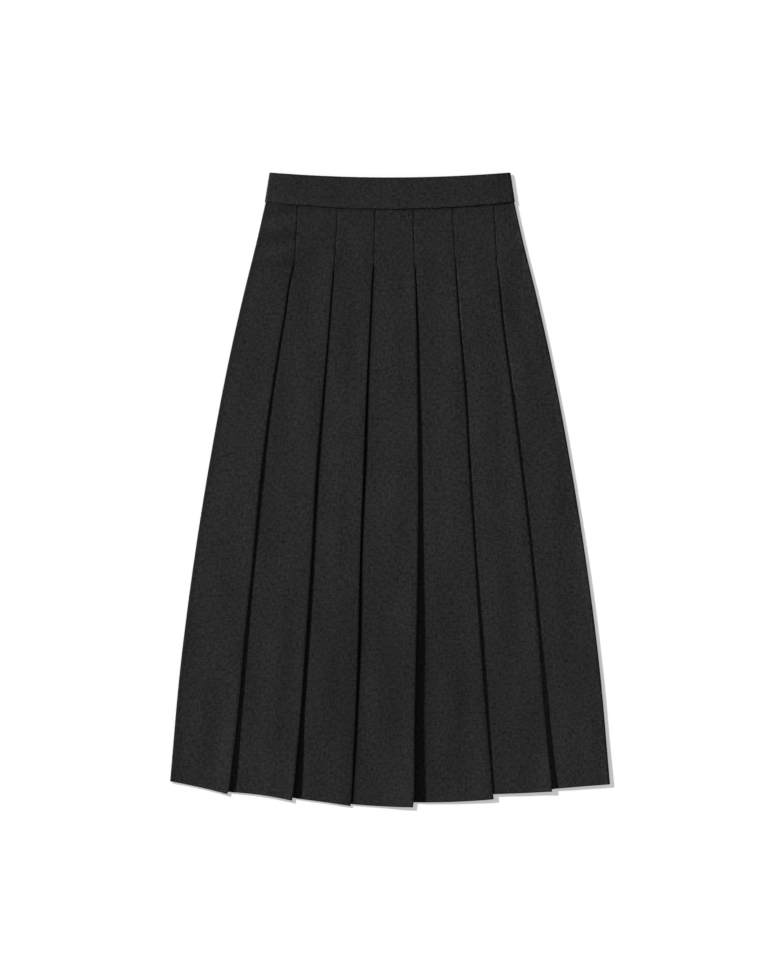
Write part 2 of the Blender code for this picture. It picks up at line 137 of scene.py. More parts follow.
ZIP_CLOSE = 6.0  # the slit below the zip closes over this much
ZIP_GAP = 1.2
SEAM_GAP = 0.4
ZIP_SIDE = (ZIP_GAP / 2, 1.2, 3.0, 6.0, 9.0, 13.0, 17.0, 21.0, 25.0, 30.0)  # columns beside it

# How far the front's sides are from its middle, and how high they lie
SideLine = namedtuple("SideLine", "down left right level")
SIDE = (
    SideLine(38.0, 161.4, 161.9, 6.1),
    SideLine(88.0, 172.8, 173.1, 6.2),
    SideLine(153.0, 188.9, 189.3, 5.9),
    SideLine(250.0, 210.7, 211.1, 5.6),
    SideLine(380.0, 235.0, 235.5, 5.7),
    SideLine(510.0, 255.5, 256.1, 5.9),
    SideLine(640.0, 272.1, 272.6, 6.3),
    SideLine(794.0, 286.0, 286.4, 6.9),
)

# Where each fold edge of the front lies across, and how far it stands above the
# panel beside it, at these distances down
Edge = namedtuple("Edge", "waist release opening high hip seat thigh knee calf hem")
EDGE_DOWN = Edge(42, 117, 127, 186, 290, 394, 498, 602, 706, 806)
EDGES = (
    Edge(-119.9, -123.9, -126.9, -137.1, -154.1, -167.4, -177.2, -188.1, -197.4, -208.9),
    Edge(-67.4, -71.8, -73.1, -78.0, -87.0, -95.8, -101.5, -108.6, -115.9, -125.0),
    Edge(-19.0, -21.1, -22.0, -25.3, -30.4, -34.4, -38.4, -40.7, -44.4, -49.2),
    Edge(30.0, 31.7, 32.5, 34.5, 36.2, 37.2, 36.5, 34.8, 32.7, 31.9),
    Edge(80.7, 85.0, 85.6, 89.5, 98.0, 103.7, 110.7, 117.5, 125.6, 134.3),
    Edge(135.2, 138.8, 140.1, 145.4, 158.8, 172.0, 184.1, 193.4, 201.8, 211.2),
)
Step = namedtuple("Step", "release opening high hip seat thigh knee calf hem")
STEP_DOWN = Step(118, 126, 186, 290, 394, 498, 602, 706, 806)
STEPS = (
    Step(0.11, 0.66, 0.95, 1.21, 1.61, 1.54, 1.83, 2.13, 3.74),
    Step(0.11, 0.59, 0.84, 1.17, 1.58, 1.61, 2.25, 2.35, 4.75),
    Step(0.11, 0.59, 0.81, 1.17, 1.54, 1.25, 1.76, 1.25, 0.81),
    Step(0.11, 0.66, 1.17, 1.76, 2.25, 3.35, 4.15, 4.35, 5.75),
    Step(0.11, 0.66, 0.92, 1.25, 1.28, 1.17, 2.10, 1.45, 1.10),
    Step(0.11, 0.72, 1.05, 1.75, 1.32, 1.30, 1.78, 2.35, 3.96),
)
FULL_STEP = 2 * LAYER

# Painted light and shade: how many times as light as the rest of the cloth
STRIP_PAINTED_LIGHT = (1.05, 0.63, 0.2, 0.93, 1.6, 1.75)  # painted shade in the shadowed strip right beside each fold edge, painted light where above 1
SEWN_NOSE_PAINTED_LIGHT = 2.7  # painted light on the fold's shaded nose in a sewn line
SEWN_LINE_PAINTED_LIGHT = (1.0, 1.25, 1.18, 1.0, 1.0, 1.22)  # painted light in the sewn line above each fold
SEWN_UNEVEN = 0.25  # how much that painted light and shade of a sewn line changes along its length
SEWN_WAVE = 5.6  # millimetres for each radian of that
SEWN_WAVE_FROM = 78.0
SEWN_WAVE_ACROSS = 35.0
SEWN_FADE = 12.0
# painted shade on the layers hidden inside the pleats
HIDDEN_PAINTED_SHADE = 0.7
LEFT_TURN_PAINTED_SHADE = 0.1  # painted shade on the cloth that turns down at the left side
LEFT_TURN_CURVE = 12
# painted shade along the left rim, then slight painted light on the left panel
LEFT_RIM_PAINTED_SHADE = 0.62
LEFT_RIM_SHARE = 14.0  # the rim is one part in so many of the panel
LEFT_PANEL_PAINTED_LIGHT = 1.02
# painted light where the cloth turns down at the right side, and along its rim
RIGHT_TURN_PAINTED_LIGHT = 1.2
RIGHT_TURN_CURVE = 4
RIGHT_RIM_PAINTED_LIGHT = 1.34
RIGHT_RIM_SHARE = 6.0
SEAM_PAINTED_SHADE = 0.76  # painted shade in the band seam
SEAM_UNEVEN = 0.1
SEAM_UNEVEN_RUNS = (11.0, 4.3)
SEAM_SHADE = 5.0  # how far below the seam that painted shade reaches
HEM_PAINTED_SHADE = 0.7  # painted shade on the hem's turned edge
HEM_SHADE = 1.8
HEM_GLINT = 0.1  # a painted highlight along the line where the hem is pressed
HEM_GLINT_AT = 3.0
BAND_TOP_PAINTED_SHADE = 0.5  # painted shade on the band's turned edge at its top
BAND_TOP_SHADE = 1.1
BAND_GLINT = 0.09  # a painted highlight along the band above its seam, where the seam allowances end inside it
BAND_GLINT_AT = 4.5
BAND_GLINT_WIDE = 2.5
BAND_FOOT_PAINTED_SHADE = 0.8  # painted shade on its edge at the seam
BAND_FOOT_SHADE = 0.6
BAND_FOOT_FADE = 1.4
BAND_END_PAINTED_SHADE = 0.35  # and painted shade at its sides
BAND_END_LEFT = 4.0
BAND_END_RIGHT = 2.6
# painted shade where the back band's edges round off
BACK_BAND_PAINTED_SHADE = 0.4

# How far down each panel's hem is at its left, in its middle and at its right
Hem = namedtuple("Hem", "left middle right")
HEMS = (
    Hem(791.2, 799.1, 808.0),
    Hem(805.3, 808.9, 816.2),
    Hem(813.0, 817.7, 823.2),
    Hem(820.8, 823.6, 824.6),
    Hem(818.6, 817.9, 814.3),
    Hem(807.8, 806.4, 804.2),
    Hem(801.2, 798.0, 795.0),
)
CORNER_IN = (1.7, 0.85, 0.9, 1.5, 0.0, 0.2)  # how far each fold edge is drawn in at the hem
CORNER_REACH = 13.0
# How much the hem is raised or sunk off the front's level across the skirt
HemLift = namedtuple("HemLift", "across height")
HEM_LIFTS = (
    HemLift(-265.0, -0.9),
    HemLift(-200.0, -0.3),
    HemLift(-110.0, -0.4),
    HemLift(-38.0, -1.0),
    HemLift(46.0, -0.5),
    HemLift(140.0, 0.4),
    HemLift(250.0, 0.9),
)
HEM_LIFT_REACH = 90.0
BACK_HEM_CENTRE = 813.0  # how far down the back's hem is in the middle
BACK_HEM_RISE = 27.0  # and how much higher at its sides

# Soft troughs pressed into the front: both ends, width and depth
Crease = namedtuple("Crease", "x0 down0 x1 down1 width depth")
CREASES = (
    Crease(150.0, 122.0, 208.0, 335.0, 11.0, 0.68),
    Crease(258.0, 560.0, 276.0, 765.0, 12.0, 0.34),
    Crease(-195.0, 265.0, -186.0, 350.0, 10.0, 0.23),
    Crease(-66.0, 585.0, -74.0, 775.0, 11.0, 0.46),
    Crease(-29.0, 585.0, -36.0, 785.0, 10.0, 0.42),
    Crease(152.0, 590.0, 164.0, 760.0, 12.0, 0.38),
)
CREASE_ENDS = 3.0  # each end fades out over one part in so many
# The unevenness of pressed cloth: long shallow waves, each at a slant of its own
WAVES = 26
WAVE_ACROSS = (35, 110)
WAVE_DOWN = (120, 420)
WAVE_SIZE = 0.0011  # height for its length across
WAVES_FROM = 60.0
WAVES_GROW = 60.0

# A shallow dent in the band, and its ripples
Dent = namedtuple("Dent", "across down radius depth")
BAND_DENT = Dent(141.0, 20.0, 9.0, 0.27)
Ripple = namedtuple("Ripple", "size run slant start")
RIPPLES = (
    Ripple(0.10, 17.0, 1.3, 0.0),
    Ripple(0.07, 7.3, -2.0, 1.0),
)

# Places where the front is painted a little lighter or darker than the rest: painted light and
# shade, partly the cloth's own unevenness
Patch = namedtuple("Patch", "across down wide long tone")
PATCHES = (
    Patch(-152.0, 108.0, 26.0, 50.0, -0.12),
    Patch(-190.0, 245.0, 24.0, 50.0, -0.12),
    Patch(-78.0, 108.0, 50.0, 40.0, -0.08),
    Patch(-85.0, 190.0, 12.0, 30.0, -0.08),
    Patch(160.0, 98.0, 20.0, 34.0, 0.24),
    Patch(166.0, 185.0, 14.0, 30.0, -0.12),
    Patch(130.0, 240.0, 14.0, 60.0, 0.16),
    Patch(22.0, 268.0, 14.0, 40.0, 0.09),
    Patch(64.0, 260.0, 22.0, 50.0, -0.08),
    Patch(-50.0, 420.0, 14.0, 70.0, 0.12),
    Patch(-232.0, 400.0, 30.0, 90.0, 0.09),
    Patch(98.0, 440.0, 10.0, 90.0, 0.08),
    Patch(-90.0, 590.0, 15.0, 60.0, -0.13),
    Patch(-100.0, 740.0, 14.0, 45.0, -0.12),
    Patch(-262.0, 720.0, 40.0, 60.0, 0.09),
    Patch(248.0, 650.0, 16.0, 55.0, -0.18),
    Patch(150.0, 710.0, 14.0, 80.0, -0.15),
    Patch(10.0, 665.0, 115.0, 130.0, -0.24),
)

# Where the cloth comes out beside a fold edge. Sewn shut, it climbs close beside the
# edge, by shares of a full step; open, it lies flat, this far across.
# Its third column is painted light in a sewn groove and painted shade on the groove's flank.
Exit = namedtuple("Exit", "shut rise sewn_tone flat")
EXITS = (
    Exit(-1.2, 0.0, 1.6, -1.2),
    Exit(-0.1, 0.0, 2.6, -0.3),
    Exit(0.4, 0.12, 2.6, 0.5),
    Exit(0.65, 0.4, 1.9, 1.2),
    Exit(0.72, 0.65, 1.2, 1.9),
    Exit(0.95, 0.87, 0.7, 2.6),
    Exit(1.7, 0.985, 0.58, 3.3),
)

ALBEDO = (0.0138, 0.0137, 0.0138)
MOTTLE = (0.2, 0.04, 0.14)  # how far red, green and blue stray from place to place
PANEL_SHIFT = 0.137  # metres between the panels' places on the cloth map

# A wall is the front or the back. A column of points runs down it from waist to hem:
# across and height are functions of the distance down, and hem says where it ends.
Wall = namedtuple("Wall", "level shift front")
# Its last two fields are painted light and shade: on the free cloth, and in the sewn lines.
Column = namedtuple("Column", "across height hem panel tone sewn_tone", defaults=(1.0,))


def smooth(t):
    t = np.clip(t, 0, 1)
    return t * t * (3 - 2 * t)


def mix(a, b, t):
    return a + (b - a) * t


def through(places, values, at):
    """A smooth curve through the given values, straight beyond its ends."""
    places, values = np.array(places, float), np.array(values, float)
    slopes = np.gradient(values, places)
    i = np.clip(np.searchsorted(places, at) - 1, 0, len(places) - 2)
    span = places[i + 1] - places[i]
    t = (at - places[i]) / span
    inner = np.clip(t, 0, 1)
    square, cube = inner**2, inner**3
    curve = (
        (2 * cube - 3 * square + 1) * values[i]
        + (cube - 2 * square + inner) * span * slopes[i]
        + (3 * square - 2 * cube) * values[i + 1]
        + (cube - square) * span * slopes[i + 1]
    )
    return curve + (t - inner) * span * np.where(t < 0, slopes[i], slopes[i + 1])


def half_width(wall, sign, down):
    """From the middle to the side; the back is worked out as seen from behind."""
    at_left = (sign < 0) == wall.front
    halves = [s.left if at_left else s.right for s in SIDE]
    return through([s.down for s in SIDE], halves, down)


def depth(down):
    share = (down - EDGE_DOWN.waist) / (EDGE_DOWN.hem - EDGE_DOWN.waist)
    return mix(DEPTH_WAIST, DEPTH_HEM, share)


def waist_seam(across):
    return mix(SEAM_CENTRE, SEAM_SIDE, (across / BAND_HALF_BOTTOM) ** 2)


def side_level(down):
    return np.interp(down, [s.down for s in SIDE], [s.level for s in SIDE])


def edge_line(wall, number, down):
    """Straight where the pleat is sewn shut, then curved, and drawn in at the hem."""
    sewn = np.interp(down, EDGE_DOWN[:2], EDGES[number][:2])
    free = through(EDGE_DOWN[1:], EDGES[number][1:], down)
    if wall.front:
        near_hem = smooth((down - HEMS[number].right) / CORNER_REACH + 1)
        free = free - CORNER_IN[number] * near_hem
    return np.where(down < EDGE_DOWN.release, sewn, free) + wall.shift


def inner_line(wall, number, down):
    return edge_line(wall, number, down) - depth(down)


def step_height(wall, number, down):
    if wall.front:
        return np.interp(down, STEP_DOWN, STEPS[number])
    return mix(BACK_SEWN_STEP, FULL_STEP, smooth((down - STEP_DOWN.release) / BACK_OPENING))


def hem_of_panel(wall, panel, across):
    """How far down a panel's hem is at a place across."""
    if not wall.front:
        return BACK_HEM_CENTRE - BACK_HEM_RISE * (across / HALF_HEM) ** 2
    hem_row = [-HALF_HEM] + [edge.hem for edge in EDGES] + [HALF_HEM]
    left, right = hem_row[panel], hem_row[panel + 1]
    share = (across - left) / (right - left)
    hem = HEMS[panel]
    inside = np.clip(share, 0, 1)
    belly = 4 * inside * (1 - inside) * (hem.middle - (hem.left + hem.right) / 2)
    return mix(hem.left, hem.right, share) + belly


def at_hem(line):
    return line(np.array(float(EDGE_DOWN.hem)))


def panel_top(wall, panel, count, left=None, right=None):
    """Columns over the upper face of one panel, from where it comes out to its fold edge.

    left and right cut the panel off at other lines, such as the seam down the back.
    """
    top, low = wall.level, wall.level - FULL_STEP
    bend = LAYER / 2 * NOSE + CLOTH / 2
    first, last = panel == 0, panel == len(EDGES)

    def opened(down):
        if first:
            return 0 * down + 1
        return np.clip(step_height(wall, panel - 1, down) / FULL_STEP, 0, 1)

    def begin(down):
        if first:
            return -half_width(wall, -1, down) + CLOTH / 2 + SIDE_ROUND
        beside = mix(BESIDE_SHUT, BESIDE_OPEN, opened(down))
        return edge_line(wall, panel - 1, down) + beside

    def finish(down):
        if last:
            return half_width(wall, 1, down) - CLOTH / 2 - SIDE_ROUND
        return edge_line(wall, panel, down) - bend

    def begin_level(down):
        if first:
            return side_level(down) if wall.front else 0 * down + wall.level
        return mix(top, low, opened(down))

    def lift(down):
        if last or not wall.front:
            return 0 * down
        return np.maximum(step_height(wall, panel, down) - FULL_STEP, 0)

    def height(x, down):
        start, stop = begin(down), finish(down)
        share = (x - start) / (stop - start)
        if last:
            end_level = side_level(down) if wall.front else top
            return mix(begin_level(down), end_level, smooth(share))
        if wall.front:
            ramp_end = inner_line(wall, panel, down) - INNER_CLEAR
            sunk = INNER_DROP * smooth((down - STEP_DOWN.release) / INNER_DROP_RUN)
        else:
            ramp_end = np.minimum(start + BACK_RAMP, stop)
            sunk = 0
        t = np.clip((x - start) / (ramp_end - start), 0, 1)
        rise = mix(begin_level(down), top - sunk, mix(t, smooth(t), 0.5))
        over = np.clip((x - ramp_end) / (stop - ramp_end), 0, 1)
        near = np.clip(1 - (stop - x) / (LIFT_REACH * (stop - start)), 0, 1)
        return rise + sunk * smooth(over) + lift(down) * near**LIFT_CURVE

    found = []
    shares = np.linspace(0, 1, count)
    if last:
        shares = shares[:-1]
    if first:
        shares = shares[1:]
    for share in shares:

        def across(down, share=share):
            return mix((left or begin)(down), (right or finish)(down), share)

        hem = hem_of_panel(wall, panel, at_hem(across))
        # Painted shade along the left rim, painted light along the right rim
        rim = 1.0
        if first:
            rim = mix(LEFT_RIM_PAINTED_SHADE, LEFT_PANEL_PAINTED_LIGHT, smooth(share * LEFT_RIM_SHARE))
        if last:
            rim = mix(RIGHT_RIM_PAINTED_LIGHT, 1.0, smooth((1 - share) * RIGHT_RIM_SHARE))
        # The first column beside a fold edge gets half the strip's painted light and shade
        beside = 1.0 if first or share > 0 else mix(STRIP_PAINTED_LIGHT[panel - 1], 1.0, 0.5)

        def level(down, across=across):
            return height(across(down), down)

        found.append(Column(across, level, hem, panel, rim * beside, rim))
    return found


def fold_back(wall, number):
    """Columns round a fold edge, back to the inner fold and out again beside the edge."""
    top, middle, low = (wall.level - LAYER * n for n in range(3))
    bend = LAYER / 2
    found = []

    def edge(down):
        return edge_line(wall, number, down) - CLOTH / 2 - bend * NOSE

    def inner(down):
        return inner_line(wall, number, down) + bend

    def step(down):
        return step_height(wall, number, down)

    def lift(down):
        if not wall.front:
            return 0 * down
        return np.maximum(step(down) - FULL_STEP, 0)

    edge_hem = hem_of_panel(wall, number, at_hem(edge))
    inner_hem = hem_of_panel(wall, number, at_hem(inner)) - HIDDEN_RISE
    # Round the nose, with painted light where it runs through a sewn line
    for angle in np.linspace(90, -90, 8)[1:]:
        found.append(
            Column(
                lambda d, a=radians(angle): edge(d) + bend * NOSE * cos(a),
                lambda d, a=radians(angle): (top + middle) / 2 + bend * sin(a) + lift(d),
                edge_hem,
                number,
                1.0,
                SEWN_NOSE_PAINTED_LIGHT * SEWN_LINE_PAINTED_LIGHT[number],
            )
        )
    for share in (0.2, 0.45, 0.75):
        found.append(
            Column(
                lambda d, s=share: mix(edge(d), inner(d), s),
                lambda d, s=share: middle + lift(d) * (1 - s) ** LIFT_CURVE,
                mix(edge_hem, inner_hem, share),
                number,
                HIDDEN_PAINTED_SHADE,
            )
        )
    for angle in np.linspace(90, 270, 6):
        found.append(
            Column(
                lambda d, a=radians(angle): inner(d) + bend * cos(a),
                lambda d, a=radians(angle): (middle + low) / 2 + bend * sin(a),
                inner_hem,
                number + 1,
                HIDDEN_PAINTED_SHADE,
            )
        )
    out_hem = hem_of_panel(wall, number + 1, at_hem(edge))
    for share in (0.3, 0.65):
        found.append(
            Column(
                lambda d, s=share: mix(inner(d), edge(d), s),
                lambda d: low + 0 * d,
                mix(inner_hem, out_hem, share),
                number + 1,
                HIDDEN_PAINTED_SHADE,
            )
        )

    def opened(down):
        return np.clip(step(down) / FULL_STEP, 0, 1)

    # Cloth coming out beside the edge carries the strip's painted light and shade
    for out in EXITS:
        found.append(
            Column(
                lambda d, o=out: edge_line(wall, number, d) + mix(o.shut, o.flat, opened(d)),
                lambda d, o=out: low + FULL_STEP * o.rise * (1 - opened(d)),
                out_hem,
                number + 1,
                STRIP_PAINTED_LIGHT[number],
                out.sewn_tone * SEWN_LINE_PAINTED_LIGHT[number],
            )
        )
    return found


def side_turn(wall, sign):
    """Columns round the side, from the side seam up to the panel."""
    panel = 0 if sign < 0 else len(EDGES)
    found = []
    for angle in np.linspace(0, 90, 7):
        a = radians(angle)

        def across(down, a=a):
            return sign * (half_width(wall, sign, down) - CLOTH / 2 - SIDE_ROUND * (1 - cos(a)))

        def height(down, a=a):
            if wall.front:
                return mix(SIDE_SEAM + SIDE_SEAM_GAP / 2, side_level(down), sin(a))
            return mix(-(SIDE_SEAM - SIDE_SEAM_GAP / 2), wall.level, sin(a))

        hem = hem_of_panel(wall, panel, sign * HALF_HEM)
        # Painted shade where the cloth turns down at the left, painted light at the right
        if sign < 0:
            rim = mix(LEFT_TURN_PAINTED_SHADE, LEFT_RIM_PAINTED_SHADE, sin(a) ** LEFT_TURN_CURVE)
        else:
            rim = mix(RIGHT_TURN_PAINTED_LIGHT, RIGHT_RIM_PAINTED_LIGHT, sin(a) ** RIGHT_TURN_CURVE)
        found.append(Column(across, height, hem, panel, rim, rim))
    return found


def relief(across, down):
    """Gentle unevenness of pressed cloth that has been laid down, and its soft troughs."""
    random = np.random.default_rng(11)
    height = 0 * across
    for _ in range(WAVES):
        wave_x, wave_y = random.uniform(*WAVE_ACROSS), random.uniform(*WAVE_DOWN)
        turn, phase = random.uniform(-1, 1), random.uniform(0, 2 * pi)
        size = WAVE_SIZE * wave_x
        height = height + size * np.sin(2 * pi * (across / wave_x + turn * down / wave_y) + phase)
    for c in CREASES:
        run_x, run_y = c.x1 - c.x0, c.down1 - c.down0
        long = sqrt(run_x**2 + run_y**2)
        at = ((across - c.x0) * run_x + (down - c.down0) * run_y) / long
        off = ((across - c.x0) * run_y - (down - c.down0) * run_x) / long
        ends = smooth(at / long * CREASE_ENDS) * smooth((1 - at / long) * CREASE_ENDS)
        height = height - c.depth * np.exp(-((off / c.width) ** 2)) * ends
    ridge = SEAM_RIDGE * np.exp(-np.maximum(down - waist_seam(across), 0) / SEAM_RIDGE_REACH)
    hem_lift = through([h.across for h in HEM_LIFTS], [h.height for h in HEM_LIFTS], across)
    low = hem_lift * smooth((down - EDGE_DOWN.hem) / HEM_LIFT_REACH + 1)
    return height * smooth((down - WAVES_FROM) / WAVES_GROW) + ridge + low


def rows_with_ends(count, length, round_off, close):
    """Shares of a length, and the share of the cloth's thickness there, for rounded edges.

    close lists the distances from each end that get a row of their own.
    """
    turn = np.radians((10, 35, 60, 90))
    ends = np.concatenate([round_off * (1 - np.cos(turn)), close])
    inside = np.linspace(close[-1], length - close[-1], count)[1:-1]
    at = np.concatenate([ends, inside, (length - ends)[::-1]])
    inward = np.clip(np.minimum(at, length - at) / round_off, 0, 1)
    return at / length, np.sqrt(1 - (1 - inward) ** 2)


def sheet_grid(columns, rows):
    """Arrays of across, down and height, a row of points for each share of the length."""
    grid = []
    for column in columns:
        top = waist_seam(column.across(np.array(float(EDGE_DOWN.waist)))) - TUCK
        down = mix(top, column.hem, rows)
        grid.append((column.across(down), down, column.height(down) + 0 * down))
    return np.array(grid).transpose(1, 2, 0)


def walls(across, height, thickness):
    """Both faces of a sheet, from its middle: the points moved half its thickness."""
    step_x, step_z = np.diff(across, axis=1), np.diff(height, axis=1)
    length = np.hypot(step_x, step_z)
    normal = np.stack([-step_z / length, step_x / length])
    before = np.concatenate([normal[:, :, :1], normal], axis=2)
    after = np.concatenate([normal, normal[:, :, -1:]], axis=2)
    mitre = before + after
    mitre = mitre * thickness / 2 / (mitre * before).sum(axis=0)
    return (
        (across + mitre[0], height + mitre[1]),
        (across - mitre[0], height - mitre[1]),
    )


def shell(name, outer, inner, cloth, panel, tone):
    """A closed thin shell between two grids of points, with its cloth map and its tone of painted
    light and shade.

    cloth says how far along the cloth each point is, and panel the panel of each column.
    """
    rows, columns = outer[0].shape
    count = rows * columns
    points = []
    for across, down, height in (outer, inner):
        grid = np.stack([across, ORIGIN_DOWN - down, height], axis=2)
        points.append(grid.reshape(-1, 3) * MM)
    r, c = np.meshgrid(np.arange(rows - 1), np.arange(columns - 1), indexing="ij")
    a = (r * columns + c).ravel()
    b, d = a + columns, a + 1
    e = b + 1
    front = np.stack([a, b, e, d], axis=1)
    back = np.stack([a, d, e, b], axis=1) + count
    left = np.arange(rows - 1) * columns
    right = left + columns - 1
    first = np.arange(columns - 1)
    last = first + (rows - 1) * columns
    rims = [
        np.stack([left, left + count, left + count + columns, left + columns], axis=1),
        np.stack([right, right + columns, right + count + columns, right + count], axis=1),
        np.stack([first, first + 1, first + 1 + count, first + count], axis=1),
        np.stack([last, last + count, last + 1 + count, last + 1], axis=1),
    ]
    faces = np.concatenate([front, back] + rims)
    mesh = bpy.data.meshes.new(name)
    vertices = np.concatenate(points)
    mesh.vertices.add(len(vertices))
    mesh.vertices.foreach_set("co", vertices.astype(np.float32).ravel())
    mesh.loops.add(faces.size)
    mesh.loops.foreach_set("vertex_index", faces.astype(np.int32).ravel())
    mesh.polygons.add(len(faces))
    mesh.polygons.foreach_set("loop_start", np.arange(0, faces.size, 4, dtype=np.int32))
    mesh.update(calc_edges=True)
    mesh.polygons.foreach_set("use_smooth", np.ones(len(faces), bool))

    # The map follows the cloth: metres along it and down it, straight within each panel.
    face_panel = np.concatenate(
        [
            np.tile(panel[1:], rows - 1),
            np.tile(panel[1:], rows - 1),
            np.full(rows - 1, panel[0]),
            np.full(rows - 1, panel[-1]),
            panel[1:],
            panel[1:],
        ]
    )
    numbers = np.unique(panel)
    centres = [cloth[:, panel == n].mean(axis=1) - n * PANEL_SHIFT for n in numbers]
    corner = faces % count
    row, column = corner // columns, corner % columns
    index = np.searchsorted(numbers, face_panel)
    u = cloth[row, column] - np.stack(centres)[index[:, None], row]
    v = outer[1][row, column] * MM
    maps = mesh.uv_layers.new(name="cloth")
    maps.uv.foreach_set("vector", np.stack([u, v], axis=2).astype(np.float32).ravel())

    # The tone attribute holds the painted light and shade
    shade = mesh.attributes.new("tone", "FLOAT", "POINT")
    shade.data.foreach_set("value", np.concatenate([tone.ravel()] * 2).astype(np.float32))
    made = bpy.data.objects.new(name, mesh)
    bpy.context.scene.collection.objects.link(made)
    return made


def cloth_run(across, height):
    """Distance along the cloth from its first column, in metres, row by row."""
    length = np.hypot(np.diff(across, axis=1), np.diff(height, axis=1))
    return np.concatenate([0 * length[:, :1], np.cumsum(length, axis=1)], axis=1) * MM


def pleated_tone(wall, columns, across, down):
    """How light the cloth is painted at each point: painted light and shade for what relief and
    light alone don't give, with some of the cloth's own unevenness.
    """
    free_tone = np.array([column.tone for column in columns])
    sewn_tone = np.array([column.sewn_tone for column in columns])
    # The sewn lines' painted light and shade, uneven along them and fading where the pleats open
    wave = np.cos((down - SEWN_WAVE_FROM) / SEWN_WAVE + across / SEWN_WAVE_ACROSS)
    sewn_tone = sewn_tone * (1 + SEWN_UNEVEN * wave * (sewn_tone != 1))
    tone = mix(sewn_tone, free_tone, smooth((down - STEP_DOWN.release) / SEWN_FADE))
    # Painted shade below the band seam, uneven along it
    from_seam = down - waist_seam(across)
    run, short_run = SEAM_UNEVEN_RUNS
    uneven = SEAM_UNEVEN * np.sin(across / run + 1) * np.sin(across / short_run)
    tone = tone * mix(SEAM_PAINTED_SHADE + uneven, 1.0, smooth(from_seam / SEAM_SHADE))
    # Patches of painted light and shade on the front, partly the cloth's own unevenness
    patches = PATCHES if wall.front else ()
    for p in patches:
        off = ((across - p.across) / p.wide) ** 2 + ((down - p.down) / p.long) ** 2
        tone = tone * (1 + p.tone * np.exp(-off))
    # Painted shade on the hem's turned edge, and a painted highlight just above it
    above_hem = down[-1] - down
    tone = tone * mix(HEM_PAINTED_SHADE, 1.0, smooth(above_hem / HEM_SHADE))
    return tone * (1 + HEM_GLINT * np.exp(-((above_hem - HEM_GLINT_AT) ** 2)))


def pleated_piece(name, wall, columns, count):
    """A pleated sheet with so many rows; the back is turned over, and has no relief."""
    rows, thick = rows_with_ends(count, ROWS_LENGTH, EDGE_ROUND, CLOSE_ROWS)
    across, down, height = sheet_grid(columns, rows)
    cloth = cloth_run(across, height)
    if wall.front:
        height = height + relief(across, down)
    thickness = CLOTH * thick[:, None] * np.ones_like(across)
    thickness[:, [0, -1]] *= 0.5  # pressed thin along its seams
    outer, inner = walls(across, height, thickness)
    panel = np.array([column.panel for column in columns])
    sign = 1 if wall.front else -1
    return shell(
        name,
        (sign * outer[0], down, sign * outer[1]),
        (sign * inner[0], down, sign * inner[1]),
        cloth,
        panel,
        pleated_tone(wall, columns, across, down),
    )


def sheet_columns(wall, count):
    found = side_turn(wall, -1)
    found += panel_top(wall, 0, count)
    for number in range(len(EDGES)):
        found += fold_back(wall, number)
        found += panel_top(wall, number + 1, count)
    return found + side_turn(wall, 1)[::-1]


def half_sheet_columns(wall, count, side):
    """The columns on one side of a seam down the middle panel."""
    middle = len(EDGES) // 2

    def seam(down):
        wide = smooth((ZIP_END - down) / ZIP_CLOSE + 1)
        return side * mix(SEAM_GAP / 2, ZIP_GAP / 2, wide)

    if side < 0:
        found = side_turn(wall, -1)
        found += panel_top(wall, 0, count)
        for number in range(middle):
            found += fold_back(wall, number)
            if number + 1 < middle:
                found += panel_top(wall, number + 1, count)
        return found + panel_top(wall, middle, count, right=seam)
    found = panel_top(wall, middle, count, left=seam)
    for number in range(middle, len(EDGES)):
        found += fold_back(wall, number)
        found += panel_top(wall, number + 1, count)
    return found + side_turn(wall, 1)[::-1]


def front_panel():
    wall = Wall(FRONT_LEVEL, 0.0, True)
    columns = sheet_columns(wall, FRONT_COLUMNS)
    made = pleated_piece("front_cloth", wall, columns, FRONT_ROWS)
    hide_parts("front_panel")
    return made


def back_panels():
    """The halves of the back, worked out as seen from behind, where left is the wearer's left."""
    wall = Wall(-BACK_LEVEL, BACK_SHIFT, False)
    made = []
    for side, name in ((-1, "left"), (1, "right")):
        columns = half_sheet_columns(wall, BACK_COLUMNS, side)
        piece = pleated_piece(f"back_cloth_{name}", wall, columns, BACK_ROWS)
        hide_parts(f"back_panel_{name}")
        made.append(piece)
    return made


def band_shape(across, lower, drop):
    """How far down the band's points are; lower runs from 0 at its top to 1 at its seam."""
    half = mix(BAND_HALF_TOP, BAND_HALF_BOTTOM, lower)
    share = across / half
    top = BAND_TOP_DIP * (1 - share**2) + drop
    return mix(top, waist_seam(share * BAND_HALF_BOTTOM), lower)


